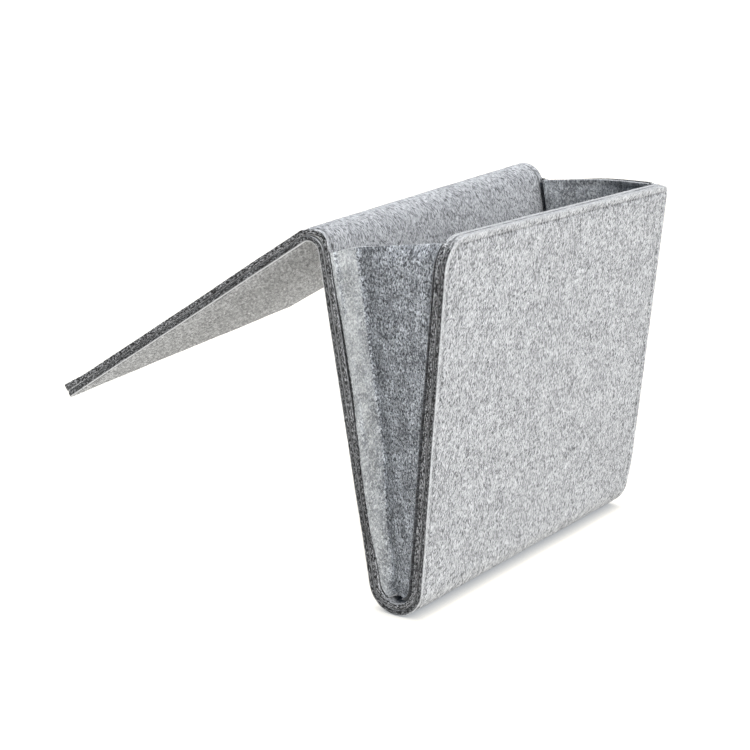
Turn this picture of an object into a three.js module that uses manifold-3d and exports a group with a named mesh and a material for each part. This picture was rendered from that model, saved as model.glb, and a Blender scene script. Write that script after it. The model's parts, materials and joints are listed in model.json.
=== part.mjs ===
// Felt bedside caddy: one long double-ply felt strip folded into a flap, a back, a round bottom and a
// front, closed at the sides by two single-ply gussets and topstitched all round its edge.
// Millimetres, +Z up, +X across the width, the front faces -Y and the flap slopes down towards +Y.
// The origin is the middle of the flap's underside, where the bed base carries it.

import * as THREE from 'three';
import { mergeVertices } from 'three/addons/utils/BufferGeometryUtils.js';
import Module from 'manifold-3d';

const wasm = await Module();
wasm.setup();

const degree = Math.PI / 180;

// Felt strip
const panelWidth = 230;
const plyThickness = 3.2;
const plyGap = 0.3;
const backLength = 184;
const backLean = 11 * degree;
const frontLength = 191;
const frontLean = 4.2 * degree;
const frontLeftCornerRadius = 17;
const frontRightCornerRadius = 5;
const bottomFoldRadius = 17.4;
const topFoldRadius = 6.2;
const flapLength = 206;
const flapSlope = 32.7 * degree;
const flapCornerRadius = 2;
const seamGap = 0.3;

// Topstitching
const stitchMargin = 4.2;
const threadWidth = 1;
const threadThickness = 0.5;
const threadClearance = 0.3;

// Gussets
const gussetThickness = 3;
const gussetSeat = 0.3;
const gussetEdgeInset = 0.8;
const gussetFlangeWidth = 5.5;
const gussetLeastFlange = 0.8;
const gussetBendRadius = 4;
const gussetLeastWall = 1;
const gussetBow = 8;
const gussetRimDropBack = 2;
const gussetRimDropFront = 5;
const gussetFootAngle = 45 * degree;
const gussetSeamEnd = 3;

// Facets
const foldStep = 7.5 * degree;
const cornerSteps = 10;
const gussetBendSteps = 5;
const gussetWallSteps = 10;
const gussetFootShares = [0, 0.5];
const gussetWallShares = [0, 0.2, 0.4, 0.6, 0.8];
const gussetCornerShares = [0, 0.3, 0.55, 0.8, 1];

// Worked out from the sizes above
const halfWidth = panelWidth / 2;
const stripThickness = 2 * plyThickness + plyGap;
const innerPlyStart = plyThickness + plyGap;
const stitchSide = halfWidth - stitchMargin;
const grooveWidth = threadWidth + 2 * threadClearance;
const grooveDepth = threadThickness + threadClearance;
const bottomInnerRadius = bottomFoldRadius - stripThickness;
const topOuterRadius = topFoldRadius + stripThickness;
const sides = [
  { name: 'left', sign: -1, frontCorner: frontLeftCornerRadius },
  { name: 'right', sign: 1, frontCorner: frontRightCornerRadius },
];

// Side profile in the Y-Z plane, along the strip's outer face
const along = (angle) => new THREE.Vector2(Math.cos(angle), Math.sin(angle));
const step = (point, angle, distance) => point.clone().addScaledVector(along(angle), distance);
const backAngle = Math.PI / 2 - backLean;
const frontAngle = Math.PI / 2 + frontLean;
const flapAngle = -flapSlope;
const bottomBend = { from: Math.PI + frontLean, to: 2 * Math.PI - backLean };
const topBend = { from: Math.PI / 2 - flapSlope, to: Math.PI - backLean };
const bottomCentre = new THREE.Vector2(0, bottomFoldRadius);
const backFoot = step(bottomCentre, bottomBend.to, bottomFoldRadius);
const frontFoot = step(bottomCentre, bottomBend.from, bottomFoldRadius);
const backHead = step(backFoot, backAngle, backLength);
const topCentre = step(backHead, bottomBend.to, topFoldRadius);
const flapFoot = step(topCentre, topBend.from, topFoldRadius);
const holdPoint = step(flapFoot, flapAngle, flapLength / 2);

// Finishes
const felt = (color) => new THREE.MeshStandardMaterial({ color, roughness: 0.95, metalness: 0 });
const paleFelt = felt(0xc3c5c7);
const shadedFelt = felt(0xb4b6b8);
const greyThread = new THREE.MeshStandardMaterial({ color: 0x8b8d90, roughness: 0.7, metalness: 0 });

function toSolid(geometry) {
  const bare = geometry.clone();
  bare.deleteAttribute('normal');
  bare.deleteAttribute('uv');
  const merged = mergeVertices(bare);
  return new wasm.Manifold(new wasm.Mesh({
    numProp: 3,
    vertProperties: new Float32Array(merged.attributes.position.array),
    triVerts: new Uint32Array(merged.index.array),
  }));
}

function toGeometry(solid) {
  const mesh = solid.getMesh();
  const geometry = new THREE.BufferGeometry();
  geometry.setAttribute('position', new THREE.BufferAttribute(mesh.vertProperties, mesh.numProp));
  geometry.setIndex(new THREE.BufferAttribute(mesh.triVerts, 1));
  geometry.computeVertexNormals();
  return geometry;
}

function cut(geometry, tools) {
  let solid = toSolid(geometry);
  for (const tool of tools) {
    solid = solid.subtract(toSolid(tool));
  }
  return toGeometry(solid);
}

function extrude(shape, low, high) {
  const options = { depth: high - low, bevelEnabled: false, curveSegments: cornerSteps };
  return new THREE.ExtrudeGeometry(shape, options).translate(0, 0, low);
}

function addMesh(group, name, geometry, material) {
  const mesh = new THREE.Mesh(geometry, material);
  mesh.name = name;
  group.add(mesh);
}

// A panel lies in its own X-Y plane, starting at its fold; its far corners are rounded.
function panelShape(length, corners) {
  const { left, right } = corners;
  const shape = new THREE.Shape();
  shape.moveTo(-halfWidth, seamGap);
  shape.lineTo(halfWidth, seamGap);
  shape.absarc(halfWidth - right, length - right, right, 0, Math.PI / 2, false);
  shape.absarc(left - halfWidth, length - left, left, Math.PI / 2, Math.PI, false);
  return shape;
}

// The stitch line runs up one side of a panel, round its far end and down the other side.
function stitchShape(length, corners, width, start) {
  const outer = stitchMargin - width / 2;
  const inner = stitchMargin + width / 2;
  const outerArc = (cornerRadius) => Math.max(cornerRadius - outer, width);
  const innerArc = (cornerRadius) => Math.max(outerArc(cornerRadius) - width, threadClearance);
  const outerLeft = outerArc(corners.left);
  const outerRight = outerArc(corners.right);
  const innerLeft = innerArc(corners.left);
  const innerRight = innerArc(corners.right);
  const outerSide = halfWidth - outer;
  const outerEnd = length - outer;
  const innerSide = halfWidth - inner;
  const innerEnd = length - inner;
  const shape = new THREE.Shape();
  shape.moveTo(innerSide, start);
  shape.lineTo(outerSide, start);
  shape.absarc(outerSide - outerRight, outerEnd - outerRight, outerRight, 0, Math.PI / 2, false);
  shape.absarc(outerLeft - outerSide, outerEnd - outerLeft, outerLeft, Math.PI / 2, Math.PI, false);
  shape.lineTo(-outerSide, start);
  shape.lineTo(-innerSide, start);
  shape.absarc(innerLeft - innerSide, innerEnd - innerLeft, innerLeft, Math.PI, Math.PI / 2, true);
  shape.absarc(innerSide - innerRight, innerEnd - innerRight, innerRight, Math.PI / 2, 0, true);
  return shape;
}

function barShape(low, high, start, end) {
  const shape = new THREE.Shape();
  shape.moveTo(low, start);
  shape.lineTo(high, start);
  shape.lineTo(high, end);
  shape.lineTo(low, end);
  return shape;
}

// A straight seam up one side of a panel
function seamShape(sign, width, start, end) {
  const middle = sign * stitchSide;
  return barShape(middle - width / 2, middle + width / 2, start, end);
}

// A panel's group carries its X-Y plane to the strip's outer face.
function panelGroup(foot, angle) {
  const group = new THREE.Group();
  group.position.set(0, foot.x, foot.y);
  group.rotation.x = angle;
  return group;
}

// A bent length of strip from x = low to x = high; spare steps lengthen it at both ends.
function bentStrip(innerRadius, outerRadius, bend, low, high, spare = 0) {
  const steps = Math.ceil((bend.to - bend.from) / foldStep);
  const turn = (bend.to - bend.from) / steps;
  const ring = [];
  for (let i = -spare; i <= steps + spare; i += 1) {
    ring.push(along(bend.from + turn * i).multiplyScalar(outerRadius));
  }
  for (let i = steps + spare; i >= -spare; i -= 1) {
    ring.push(along(bend.from + turn * i).multiplyScalar(innerRadius));
  }
  return extrude(new THREE.Shape(ring), low, high);
}

// A bent seam near one side edge
function bentSeam(innerRadius, outerRadius, bend, sign, width, spare = 0) {
  const middle = sign * stitchSide;
  return bentStrip(innerRadius, outerRadius, bend, middle - width / 2, middle + width / 2, spare);
}

// Turns X-Y-Z into Y-Z-X, so that a ring drawn in X-Y stands in the Y-Z plane.
function bendGroup(centre) {
  const group = new THREE.Group();
  group.position.set(0, centre.x, centre.y);
  group.rotation.set(Math.PI / 2, Math.PI / 2, 0);
  return group;
}

// Flap: tucked under the mattress, stitched on both faces
function makeFlap() {
  const flap = panelGroup(flapFoot, flapAngle);
  const corners = { left: flapCornerRadius, right: flapCornerRadius };
  const outline = panelShape(flapLength, corners);
  const groove = stitchShape(flapLength, corners, grooveWidth, 0);
  const thread = stitchShape(flapLength, corners, threadWidth, seamGap);
  const underGroove = extrude(groove, -grooveDepth, grooveDepth);
  const upperGroove = extrude(groove, stripThickness - grooveDepth, stripThickness + grooveDepth);
  const under = cut(extrude(outline, 0, plyThickness), [underGroove]);
  const upper = cut(extrude(outline, innerPlyStart, stripThickness), [upperGroove]);
  const upperThread = extrude(thread, stripThickness - threadThickness, stripThickness);
  addMesh(flap, 'flap_under_ply', under, shadedFelt);
  addMesh(flap, 'flap_upper_ply', upper, paleFelt);
  addMesh(flap, 'flap_under_thread', extrude(thread, 0, threadThickness), greyThread);
  addMesh(flap, 'flap_upper_thread', upperThread, greyThread);
  return flap;
}

// Top fold: both plies bend over between the flap and the back
function makeTopFold() {
  const fold = bendGroup(topCentre);
  const upperInner = topFoldRadius + innerPlyStart;
  const layers = [
    { name: 'under', inner: topFoldRadius, face: topFoldRadius, inward: 1, finish: shadedFelt },
    { name: 'upper', inner: upperInner, face: topOuterRadius, inward: -1, finish: paleFelt },
  ];
  for (const { name, inner, face, inward, finish } of layers) {
    const ply = bentStrip(inner, inner + plyThickness, topBend, -halfWidth, halfWidth);
    const grooves = sides.map(({ sign }) => (
      bentSeam(face - grooveDepth, face + grooveDepth, topBend, sign, grooveWidth, 1)
    ));
    addMesh(fold, `top_fold_${name}_ply`, cut(ply, grooves), finish);
    const sunk = face + inward * threadThickness;
    for (const side of sides) {
      const thread = bentSeam(Math.min(face, sunk), Math.max(face, sunk), topBend, side.sign, threadWidth);
      addMesh(fold, `top_fold_${name}_${side.name}_thread`, thread, greyThread);
    }
  }
  return fold;
}

// Back: lies against the side of the bed
function makeBack() {
  const back = panelGroup(backFoot, backAngle);
  const end = backLength - seamGap;
  const outline = barShape(-halfWidth, halfWidth, seamGap, end);
  const grooves = sides.map(({ sign }) => (
    extrude(seamShape(sign, grooveWidth, 0, backLength), -grooveDepth, grooveDepth)
  ));
  addMesh(back, 'back_outer_ply', cut(extrude(outline, 0, plyThickness), grooves), paleFelt);
  addMesh(back, 'back_inner_ply', extrude(outline, innerPlyStart, stripThickness), paleFelt);
  for (const { name, sign } of sides) {
    const thread = seamShape(sign, threadWidth, seamGap, end);
    addMesh(back, `back_${name}_thread`, extrude(thread, 0, threadThickness), greyThread);
  }
  return back;
}

// Bottom fold: the round floor of the pocket
function makeBottomFold() {
  const fold = bendGroup(bottomCentre);
  const radius = bottomFoldRadius;
  const outer = bentStrip(radius - plyThickness, radius, bottomBend, -halfWidth, halfWidth);
  const innerPlyEnd = bottomInnerRadius + plyThickness;
  const inner = bentStrip(bottomInnerRadius, innerPlyEnd, bottomBend, -halfWidth, halfWidth);
  const grooves = sides.map(({ sign }) => (
    bentSeam(radius - grooveDepth, radius + grooveDepth, bottomBend, sign, grooveWidth, 1)
  ));
  addMesh(fold, 'bottom_fold_outer_ply', cut(outer, grooves), paleFelt);
  addMesh(fold, 'bottom_fold_inner_ply', inner, paleFelt);
  for (const { name, sign } of sides) {
    const thread = bentSeam(radius - threadThickness, radius, bottomBend, sign, threadWidth);
    addMesh(fold, `bottom_fold_${name}_thread`, thread, greyThread);
  }
  return fold;
}

// Front: its own plane is the outer face, so the plies lie behind it
function makeFront() {
  const front = panelGroup(frontFoot, frontAngle);
  const corners = { left: frontLeftCornerRadius, right: frontRightCornerRadius };
  const outline = panelShape(frontLength, corners);
  const groove = stitchShape(frontLength, corners, grooveWidth, 0);
  const thread = stitchShape(frontLength, corners, threadWidth, seamGap);
  const rimMiddle = frontLength - stitchMargin;
  const rimLeft = Math.max(corners.left, stitchMargin) - halfWidth;
  const rimRight = halfWidth - Math.max(corners.right, stitchMargin);
  const rimShape = (spare, width) => (
    barShape(rimLeft - spare, rimRight + spare, rimMiddle - width / 2, rimMiddle + width / 2)
  );
  const back = -stripThickness;
  const rimGrooveShape = rimShape(threadClearance, grooveWidth);
  const rimGroove = extrude(rimGrooveShape, back - grooveDepth, back + grooveDepth);
  const rimThread = extrude(rimShape(0, threadWidth), back, back + threadThickness);
  const outer = cut(extrude(outline, -plyThickness, 0), [extrude(groove, -grooveDepth, grooveDepth)]);
  const inner = cut(extrude(outline, back, -innerPlyStart), [rimGroove]);
  addMesh(front, 'front_outer_ply', outer, paleFelt);
  addMesh(front, 'front_inner_ply', inner, paleFelt);
  addMesh(front, 'front_outer_thread', extrude(thread, -threadThickness, 0), greyThread);
  addMesh(front, 'front_rim_thread', rimThread, greyThread);
  return front;
}

// Where the gussets meet the back and the front, measured along each panel's inner face
const gussetRimBack = backLength - gussetRimDropBack;
const gussetRimFront = frontLength - gussetRimDropFront;
const innerBackFoot = step(bottomCentre, bottomBend.to, bottomInnerRadius);
const innerFrontFoot = step(bottomCentre, bottomBend.from, bottomInnerRadius);

// How far the front's rounded corner draws in from the side edge at a distance up the panel
function cornerDraw(distance, cornerRadius) {
  const rise = Math.max(distance - (frontLength - cornerRadius), 0);
  return cornerRadius - Math.sqrt(Math.max(cornerRadius ** 2 - rise ** 2, 0));
}

// The levels climb the round bottom, then the straight panels, then the front's rounded corner.
function gussetLevels(cornerRadius) {
  const levels = [];
  for (const share of gussetFootShares) {
    const backTurn = THREE.MathUtils.lerp(gussetFootAngle, backLean, share);
    const frontTurn = THREE.MathUtils.lerp(gussetFootAngle, frontLean, share);
    levels.push({
      back: step(bottomCentre, -backTurn, bottomInnerRadius),
      front: step(bottomCentre, Math.PI + frontTurn, bottomInnerRadius),
      frontInset: gussetEdgeInset,
    });
  }
  const cornerStart = (frontLength - cornerRadius) / gussetRimFront;
  const straightEnd = cornerStart < 1 - gussetLeastWall / gussetRimFront ? cornerStart : 1;
  const straight = gussetWallShares.map((share) => share * straightEnd);
  const rounded = gussetCornerShares.map((share) => THREE.MathUtils.lerp(cornerStart, 1, share));
  const shares = [...straight, ...(straightEnd < 1 ? rounded : [1])];
  const widestInset = gussetEdgeInset + gussetFlangeWidth - gussetLeastFlange;
  for (const share of shares) {
    const rise = share * gussetRimFront;
    levels.push({
      back: step(innerBackFoot, backAngle, share * gussetRimBack),
      front: step(innerFrontFoot, frontAngle, rise),
      frontInset: Math.min(gussetEdgeInset + cornerDraw(rise, cornerRadius), widestInset),
    });
  }
  return levels;
}

// Middle line of the gusset's section: flange on the back, bend, bowed wall, bend, flange on the front.
// u runs in from the side edge and v from the back's inner face to the front's; n is the outward side.
function gussetSection(depth, bow, frontInset) {
  const sheet = gussetSeat + gussetThickness / 2;
  const bend = Math.min(gussetBendRadius, (depth - gussetLeastWall) / 2 - sheet);
  const flangeEnd = gussetEdgeInset + gussetFlangeWidth;
  const wall = flangeEnd + bend;
  const wallStart = sheet + bend;
  const wallRun = depth - 2 * wallStart;
  const line = [{ u: gussetEdgeInset, v: sheet, nu: 0, nv: 1 }];
  for (let i = 0; i <= gussetBendSteps; i += 1) {
    const turn = ((Math.PI / 2) * i) / gussetBendSteps;
    line.push({
      u: flangeEnd + bend * Math.sin(turn),
      v: wallStart - bend * Math.cos(turn),
      nu: -Math.sin(turn),
      nv: Math.cos(turn),
    });
  }
  for (let i = 1; i < gussetWallSteps; i += 1) {
    const phase = (2 * Math.PI * i) / gussetWallSteps;
    const slope = (-bow * Math.PI * Math.sin(phase)) / wallRun;
    const length = Math.hypot(1, slope);
    line.push({
      u: wall - (bow * (1 - Math.cos(phase))) / 2,
      v: wallStart + (wallRun * i) / gussetWallSteps,
      nu: -1 / length,
      nv: slope / length,
    });
  }
  for (let i = 0; i <= gussetBendSteps; i += 1) {
    const turn = ((Math.PI / 2) * i) / gussetBendSteps;
    line.push({
      u: flangeEnd + bend * Math.cos(turn),
      v: depth - wallStart + bend * Math.sin(turn),
      nu: -Math.cos(turn),
      nv: -Math.sin(turn),
    });
  }
  line.push({ u: frontInset, v: depth - sheet, nu: 0, nv: -1 });
  return line;
}

// The section swept up the levels: faces all round, and the cut edges at foot and rim
function gussetGeometry(sign, cornerRadius) {
  const levels = gussetLevels(cornerRadius);
  const depths = levels.map(({ back, front }) => back.distanceTo(front));
  const footDepth = depths[0];
  const rimDepth = depths[depths.length - 1];
  const positions = [];
  let count = 0;
  levels.forEach(({ back, front, frontInset }, level) => {
    const depth = depths[level];
    const across = front.clone().sub(back).normalize();
    const bow = (gussetBow * (depth - footDepth)) / (rimDepth - footDepth);
    const line = gussetSection(depth, bow, frontInset);
    count = line.length;
    for (const offset of [gussetThickness / 2, -gussetThickness / 2]) {
      for (const { u, v, nu, nv } of line) {
        const place = back.clone().addScaledVector(across, v + nv * offset);
        positions.push(sign * (halfWidth - u - nu * offset), place.x, place.y);
      }
    }
  });
  const faces = [];
  const quad = (a, b, c, d) => {
    const corners = sign > 0 ? [a, b, c, a, c, d] : [a, c, b, a, d, c];
    faces.push(...corners);
  };
  const outer = (level, i) => level * 2 * count + i;
  const inner = (level, i) => outer(level, i) + count;
  const top = levels.length - 1;
  const end = count - 1;
  for (let level = 0; level < top; level += 1) {
    for (let i = 0; i < end; i += 1) {
      quad(outer(level, i), outer(level + 1, i), outer(level + 1, i + 1), outer(level, i + 1));
      quad(inner(level, i), inner(level, i + 1), inner(level + 1, i + 1), inner(level + 1, i));
    }
    quad(outer(level, 0), inner(level, 0), inner(level + 1, 0), outer(level + 1, 0));
    quad(outer(level, end), outer(level + 1, end), inner(level + 1, end), inner(level, end));
  }
  for (let i = 0; i < end; i += 1) {
    quad(outer(0, i), outer(0, i + 1), inner(0, i + 1), inner(0, i));
    quad(outer(top, i), inner(top, i), inner(top, i + 1), outer(top, i + 1));
  }
  const geometry = new THREE.BufferGeometry();
  geometry.setAttribute('position', new THREE.Float32BufferAttribute(positions, 3));
  geometry.setIndex(faces);
  return geometry;
}

// A shape let into a flange's open face, or standing proud of it; facing is the way that face looks
function onFlange(shape, facing, deep, proud) {
  const face = facing * (stripThickness + gussetSeat + gussetThickness);
  const ends = [face - facing * deep, face + facing * proud];
  return extrude(shape, Math.min(...ends), Math.max(...ends));
}

// Gussets: single-ply side walls, sewn to the back and the front through flanges turned outwards
function makeGussets(back, front) {
  const gussets = new THREE.Group();
  for (const { name, sign, frontCorner } of sides) {
    const frontSeamEnd = Math.min(gussetRimFront - gussetSeamEnd, frontLength - frontCorner);
    const seams = [
      { panel: back, label: 'back', end: gussetRimBack - gussetSeamEnd, facing: 1 },
      { panel: front, label: 'front', end: frontSeamEnd, facing: -1 },
    ];
    const grooves = [];
    for (const { panel, label, end, facing } of seams) {
      const start = gussetSeamEnd;
      const grooveShape = seamShape(sign, grooveWidth, start - threadClearance, end + threadClearance);
      const groove = onFlange(grooveShape, facing, grooveDepth, grooveDepth);
      const thread = onFlange(seamShape(sign, threadWidth, start, end), facing, threadThickness, 0);
      panel.updateMatrix();
      grooves.push(groove.applyMatrix4(panel.matrix));
      addMesh(panel, `${name}_gusset_${label}_thread`, thread, greyThread);
    }
    addMesh(gussets, `${name}_gusset`, cut(gussetGeometry(sign, frontCorner), grooves), shadedFelt);
  }
  return gussets;
}

const backPanel = makeBack();
const frontPanel = makeFront();
const caddy = new THREE.Group();
caddy.position.set(0, -holdPoint.x, -holdPoint.y);
caddy.add(makeFlap(), makeTopFold(), backPanel, makeBottomFold(), frontPanel);
caddy.add(makeGussets(backPanel, frontPanel));

export default caddy;
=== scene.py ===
import json
import math
import random
import bmesh
import bpy
import numpy as np
from mathutils import Matrix, Vector, noise


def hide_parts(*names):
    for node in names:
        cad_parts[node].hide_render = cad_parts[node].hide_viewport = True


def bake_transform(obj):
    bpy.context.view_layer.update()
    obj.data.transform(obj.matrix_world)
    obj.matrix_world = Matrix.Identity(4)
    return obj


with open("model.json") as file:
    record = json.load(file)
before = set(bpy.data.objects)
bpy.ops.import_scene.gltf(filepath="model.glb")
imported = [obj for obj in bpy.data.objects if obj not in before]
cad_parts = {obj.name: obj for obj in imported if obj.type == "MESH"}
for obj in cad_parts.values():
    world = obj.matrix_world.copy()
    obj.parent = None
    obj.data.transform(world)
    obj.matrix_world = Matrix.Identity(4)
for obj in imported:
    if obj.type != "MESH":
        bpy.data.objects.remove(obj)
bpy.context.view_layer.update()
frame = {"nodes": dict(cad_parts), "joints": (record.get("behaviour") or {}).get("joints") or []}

# Metres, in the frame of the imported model: +X across the width, the front faces -Y, +Z up
scene = bpy.context.scene
foldCentre = {joint["name"]: np.array(joint["pos_m"]) for joint in frame["joints"]}
print("frame loaded:", len(frame["nodes"]), "solids")

# The felt strip. A lean is (degrees in the middle, degrees more at the right edge), because soft felt
# stands a bit twisted.
strip = {
    "width": 0.230,
    "ply": 0.0032,
    "plyGap": 0.0003,
    "frontLength": 0.191,
    "frontCorners": (0.017, 0.005),  # left, right
    "backLength": 0.184,
    "flapLength": 0.2100,
    "flapCorners": (0.0050, 0.002),
    "bottomRadius": 0.0174,
    "topRadius": 0.0062,
    "frontLean": (4.19, 0.80),
    "backLean": (11.18, 0.85),
    "flapSlope": (32.92, -1.05),
    "frontSkew": 1.69,
    "skewReach": 0.150,
    "joinBelowHead": 0.090,  # where the upper and lower lengths of a ply meet, on the flat back
    "pinch": 0.0038,  # the right end of the bottom fold is drawn in
    "pinchReach": 0.027,
    "pinchFrom": 0.55,
    "flare": 0.0016,  # the inner ply stands off at the flap's left corner too
    "flareReach": 0.016,
    "flapPaintedLight": 0.12,  # painted light: the flap is made a bit paler
    "crestLift": 0.0020,  # the inner ply stands off at the left end of the top fold
    "crestReach": 0.030,
    "crestMiddle": 0.34,
    "crestSpread": 0.26,
    "liftEase": 0.1,  # share of the strip's inner half over which the lift sets in
}
hair = 1e-7  # lengths under this count as none
halfWidth = strip["width"] / 2
stripDepth = 2 * strip["ply"] + strip["plyGap"]
innerPlyStart = strip["ply"] + strip["plyGap"]
bottomTurn = math.pi - math.radians(strip["frontLean"][0] + strip["backLean"][0])
topTurn = math.pi / 2 + math.radians(strip["flapSlope"][0] - strip["backLean"][0])

# Places along the strip's middle, from the front's rim to the flap's end
frontFoot = strip["frontLength"]
backFoot = frontFoot + (strip["bottomRadius"] - stripDepth / 2) * bottomTurn
backHead = backFoot + strip["backLength"]
flapFoot = backHead + (strip["topRadius"] + stripDepth / 2) * topTurn
flapEnd = flapFoot + strip["flapLength"]
joinRow = backHead - strip["joinBelowHead"]


def leanAt(name, share):
    middle, twist = strip[name]
    return np.radians(middle + twist * share)


def arrow(angle):
    return np.stack([np.cos(angle), np.sin(angle)], axis=-1)


# Carries points of the flat strip (across, along, depth from its outer face) onto the folded strip.
def foldStrip(flat):
    across, along, depth = flat[:, 0], flat[:, 1], flat[:, 2]
    share = across / halfWidth
    frontLean = leanAt("frontLean", share)
    backLean = leanAt("backLean", share)
    flapSlope = leanAt("flapSlope", share)
    rise = np.maximum(frontFoot - along, 0)
    bend = np.clip((along - frontFoot) / (backFoot - frontFoot), 0, 1)
    climb = np.clip(along - backFoot, 0, strip["backLength"])
    roll = np.clip((along - backHead) / (flapFoot - backHead), 0, 1)
    reach = np.maximum(along - flapFoot, 0)
    bottomCentre = foldCentre["bottom_fold"][1:]
    bottomAngle = math.pi + frontLean + bend * (math.pi - frontLean - backLean)
    lower = bottomCentre + (strip["bottomRadius"] - depth)[:, None] * arrow(bottomAngle)
    lower += rise[:, None] * arrow(math.pi / 2 + frontLean)
    lower += climb[:, None] * arrow(math.pi / 2 - backLean)
    topCentre = bottomCentre + (strip["bottomRadius"] + strip["topRadius"]) * arrow(-backLean)
    topCentre = topCentre + strip["backLength"] * arrow(math.pi / 2 - backLean)
    topAngle = math.pi - backLean - roll * (math.pi / 2 - backLean + flapSlope)
    fromLeft = across + halfWidth
    overFold = np.exp(-((roll - strip["crestMiddle"]) / strip["crestSpread"]) ** 2)
    crest = strip["crestLift"] * np.exp(-(fromLeft / strip["crestReach"]) ** 2) * overFold
    flare = strip["flare"] * np.exp(-((fromLeft + flapEnd - along) / strip["flareReach"]) ** 2)
    inner = np.clip((2 * depth / stripDepth - 1) / strip["liftEase"], 0, 1)
    lift = inner * (crest + flare)
    upper = topCentre + (strip["topRadius"] + depth + lift)[:, None] * arrow(topAngle)
    upper += reach[:, None] * arrow(-flapSlope)
    profile = np.where((along > backHead)[:, None], upper, lower)
    skew = math.radians(strip["frontSkew"])
    fromFold = np.abs(along - (frontFoot + backFoot) / 2)
    drawnIn = np.clip((share - strip["pinchFrom"]) / (1 - strip["pinchFrom"]), 0, 1) ** 2
    drawnIn = strip["pinch"] * drawnIn * np.exp(-(fromFold / strip["pinchReach"]) ** 4)
    sideways = across + skew * rise - drawnIn
    height = profile[:, 1] - skew * rise / strip["skewReach"] * across
    return np.stack([sideways, profile[:, 0], height], axis=-1)


# Topstitching: a row of stitches at one margin from the cut edge, all round the strip
stitching = {
    "margin": 0.0042,
    "pitch": 0.0030,
    "length": 0.0024,
    "leastArc": 0.0008,
    "threadRadius": 0.00026,
    "sides": 6,
    "cuts": 4,
    "slant": 7.0,
    "slantSpread": 5.0,
    "dip": 0.0006,
    "dipRound": 4,
    "lift": 0.0001,
    "sinkSpread": 0.0002,
    "groove": 0.0004,
    "grooveWidth": 0.0008,
    "marginSink": 0.0004,
    "innerReach": 0.0016,
    "unsewn": 1.0,  # distance from the stitches that stands for none near
    "seed": 11,
}


def cornerAt(corners, across):
    return np.where(np.asarray(across) < 0, corners[0], corners[1])


def edgeInset(across, fromEnd, corner):
    sideways = np.abs(across) - (halfWidth - corner)
    endways = corner - fromEnd
    out = np.hypot(np.maximum(sideways, 0), np.maximum(endways, 0))
    return corner - out - np.minimum(np.maximum(sideways, endways), 0)


def rowCorner(corner):
    return np.maximum(corner, stitching["margin"] + stitching["leastArc"])


# Distance along the stitch row, from the middle of the strip's end, round the corner and along the side
def rowRun(across, fromEnd, corner):
    turn = rowCorner(corner)
    straight = halfWidth - turn
    arcRadius = turn - stitching["margin"]
    sideways = np.abs(across) - straight
    endways = turn - fromEnd
    angle = np.arctan2(np.maximum(sideways, 0), np.maximum(endways, hair))
    onSide = (endways <= 0) & (halfWidth - np.abs(across) < fromEnd)
    onArc = straight + arcRadius * angle
    alongSide = straight + arcRadius * math.pi / 2 - endways
    return np.where(onSide, alongSide, np.where(sideways > 0, onArc, np.abs(across)))


def rowPoint(run, corner):
    turn = float(rowCorner(corner))
    straight = halfWidth - turn
    arcRadius = turn - stitching["margin"]
    quarter = arcRadius * math.pi / 2
    if run < straight:
        return run, stitching["margin"], 0.0
    if run < straight + quarter:
        angle = (run - straight) / arcRadius
        return straight + arcRadius * math.sin(angle), turn - arcRadius * math.cos(angle), angle
    return halfWidth - stitching["margin"], turn + run - straight - quarter, math.pi / 2


# Felt blanks: cut flat, then pressed along the stitch row, then folded
felt = {
    "arris": 0.00045,
    "arrisSteps": 2,
    "arrisAngle": 60.0,
    "sharpAngle": 65.0,
    "rimCuts": 2,
    "step": 0.0018,
    "foldStep": 0.0012,
    "edgeLines": (  # mesh lines from the cut edge inwards, closest at the stitches
        0, 0.0009, 0.0018, 0.0026, 0.0032, 0.0037, 0.0042, 0.0047, 0.0052, 0.0058, 0.0067, 0.0080),
    "wave": 0.0003,
    "waveSize": 0.040,
    "waveSeed": 8.1,
    "pebble": 0.00007,
    "pebbleSize": 0.0024,
    "pebbleSeed": 1.3,
    "fray": 0.00016,
    "fraySize": 0.0013,
    "fraySeed": 3.7,
    "highlightReach": 1.6,  # in arrises
    "sideFacing": (0.3, 0.8),  # from where felt counts as facing sideways, to where it does so fully
}


def evenLines(low, high, step):
    count = math.ceil((high - low) / step)
    return np.linspace(low, high, count + 1)


def edgedLines(low, high, step, fineLow, fineHigh):
    edge = np.array(felt["edgeLines"])
    head = low + edge if fineLow else np.array([low])
    tail = high - edge[::-1] if fineHigh else np.array([high])
    return np.concatenate([head, evenLines(head[-1], tail[0], step)[1:-1], tail])


def roundEnd(bm, corners, endRow, inward):
    for vert in bm.verts:
        corner = corners[0] if vert.co.x < 0 else corners[1]
        straight = halfWidth - corner
        sideways = (abs(vert.co.x) - straight) / corner
        endways = 1 - abs(vert.co.y - endRow) / corner
        if sideways > 0 and endways > 0:
            out = straight + corner * sideways * math.sqrt(1 - endways ** 2 / 2)
            vert.co.x = math.copysign(out, vert.co.x)
            vert.co.y = endRow + inward * corner * (1 - endways * math.sqrt(1 - sideways ** 2 / 2))


def isArris(edge, squareRow):
    first, second = edge.verts
    level = abs(first.co.z - second.co.z) < hair
    square = squareRow is not None and max(abs(vert.co.y - squareRow) for vert in edge.verts) < hair
    return level and not square and edge.calc_face_angle(0) > math.radians(felt["arrisAngle"])


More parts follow.
